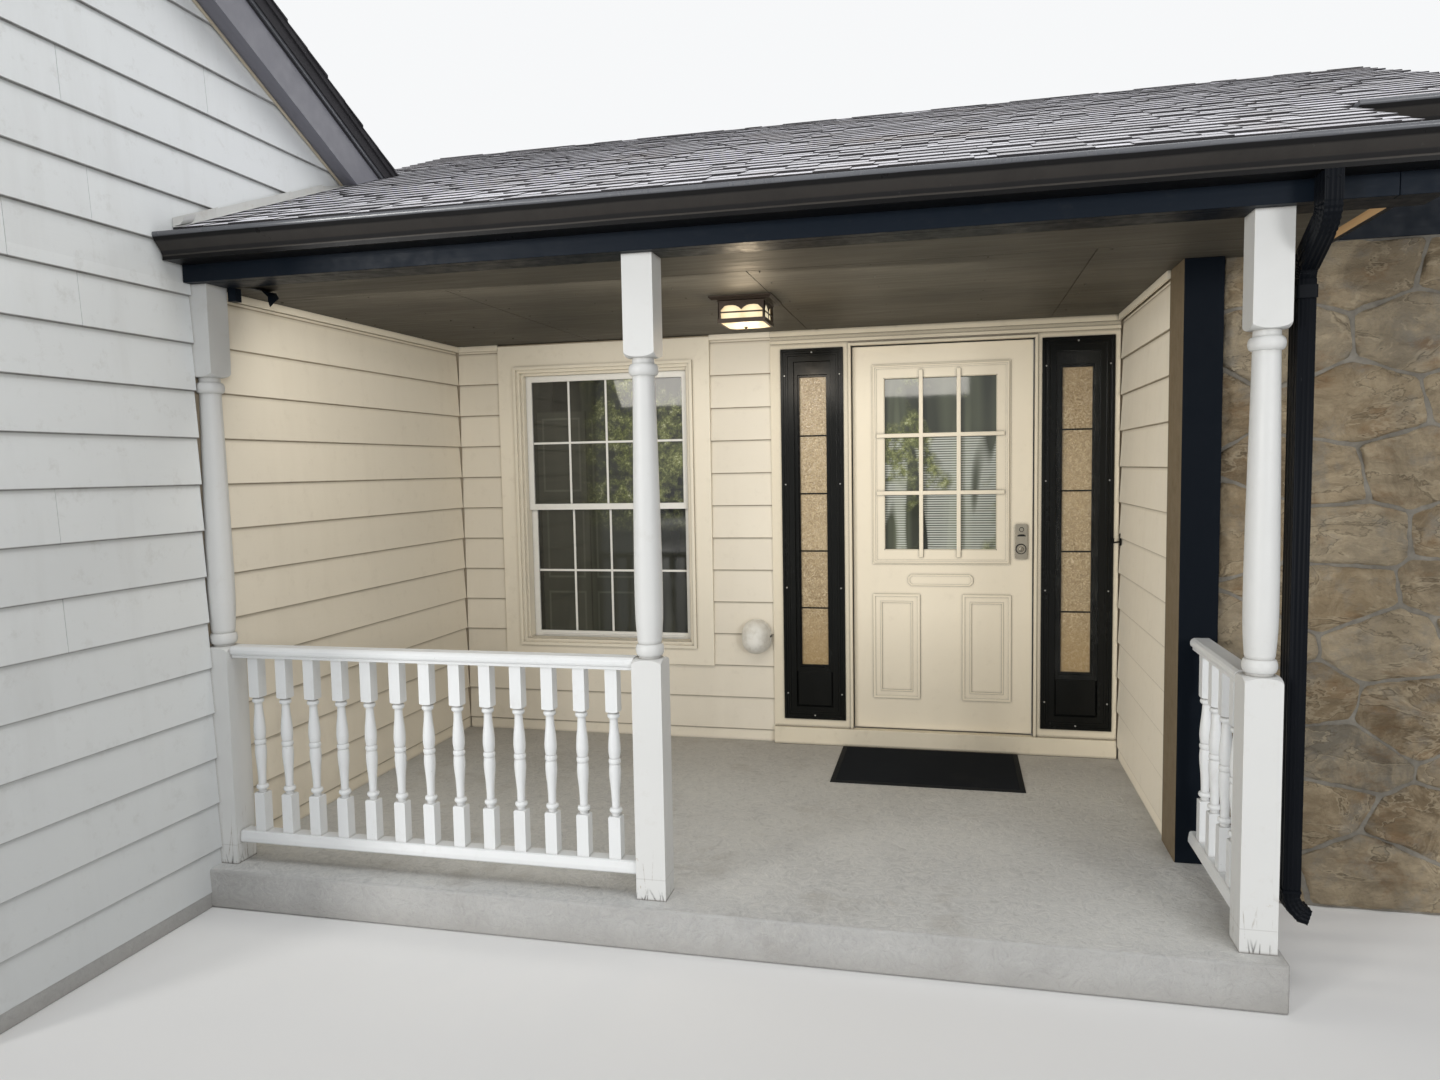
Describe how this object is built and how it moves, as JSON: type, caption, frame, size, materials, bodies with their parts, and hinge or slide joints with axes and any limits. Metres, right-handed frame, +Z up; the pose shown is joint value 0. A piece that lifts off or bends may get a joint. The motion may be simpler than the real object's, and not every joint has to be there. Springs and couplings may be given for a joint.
{
  "type": "entrance porch",
  "caption": "Covered house entrance porch with turned posts, spindle railings, lean-to shingle roof, gutter, multi-pane window and hinged front door between glazed sidelights, cut off at the wall",
  "frame": {"origin": "on the ground under the centre line of the posts, midway between the siding faces of the two side walls of the bay", "axes": "+X to the right along the front, +Y into the house, +Z up"},
  "size_m": [4.88, 3.304, 4.303],
  "materials": {
    "concrete": "broomed and worn",
    "wall_frame": "plain sheathing",
    "siding_white": "painted lapped boards",
    "siding_cream": "painted lapped boards",
    "stone": "split face with grey mortar",
    "navy_paint": "dark satin paint",
    "white_paint": "white paint, cracked near the base",
    "ceiling_paint": "matt dark paint",
    "raw_wood": "bare plywood",
    "shingle": "granular weathered shingle",
    "white_metal": "painted flashing",
    "grey_paint": "grey paint",
    "dark_shingle": "black edge metal and shingles",
    "gutter_metal": "dark bronze enamel",
    "black_metal": "black enamel with scuffs",
    "cream_paint": "cream paint",
    "white_plastic": "white frame",
    "window_glass": "clear pane before a dark room",
    "trim_paint": "white paint",
    "black_paint": "black enamel",
    "amber_glass": "hammered amber glass",
    "steel": "brushed",
    "bronze_metal": "dark bronze",
    "lamp_glass": "cream glass, lit from within",
    "foam_white": "moulded foam shell",
    "mat": "ribbed black mat",
    "door_paint": "white enamel",
    "door_glass": "clear pane",
    "nickel": "satin nickel"
  },
  "bodies": {
    "house": {"slab": "concrete", "left_wall": "wall_frame", "back_wall": "wall_frame", "back_wall_over": "wall_frame", "right_wall": "wall_frame", "front_wall": "wall_frame", "left_siding": "siding_white", "side_siding": "siding_cream", "back_siding": "siding_cream", "bay_trim": "cream_paint", "stone_facing": "stone", "frieze": "navy_paint", "pilaster": "navy_paint", "posts": "white_paint", "rails": "white_paint", "balusters": "white_paint", "beam": "navy_paint", "fascia": "navy_paint", "ceiling": "ceiling_paint", "roof_deck": "raw_wood", "shingles": "shingle", "step_flashing": "white_metal", "rake_board": "grey_paint", "wing_roof": "dark_shingle", "gutters": "gutter_metal", "downspout": "black_metal", "eave_boards": "navy_paint", "window_casing": "cream_paint", "window_frame": "cream_paint", "sashes": "white_plastic", "window_glass": "window_glass", "door_frame": "trim_paint", "threshold": "trim_paint", "sidelight_frames": "black_paint", "sidelight_glass": "amber_glass", "hinge_leaves": "steel", "porch_light": "bronze_metal", "light_glass": "lamp_glass", "faucet_cover": "foam_white", "door_mat": "mat"},
    "door": {"door_slab": "door_paint", "door_glass": "door_glass", "door_trim": "door_paint", "door_lock": "nickel", "door_hinges": "steel"}
  },
  "joints": [
    {"name": "door_swing", "type": "hinge", "parent": "house", "child": "door", "pos_m": [0.4695, 2.057, 1.265], "axis": [0, 0, 1], "range_deg": [0, 90]}
  ]
}
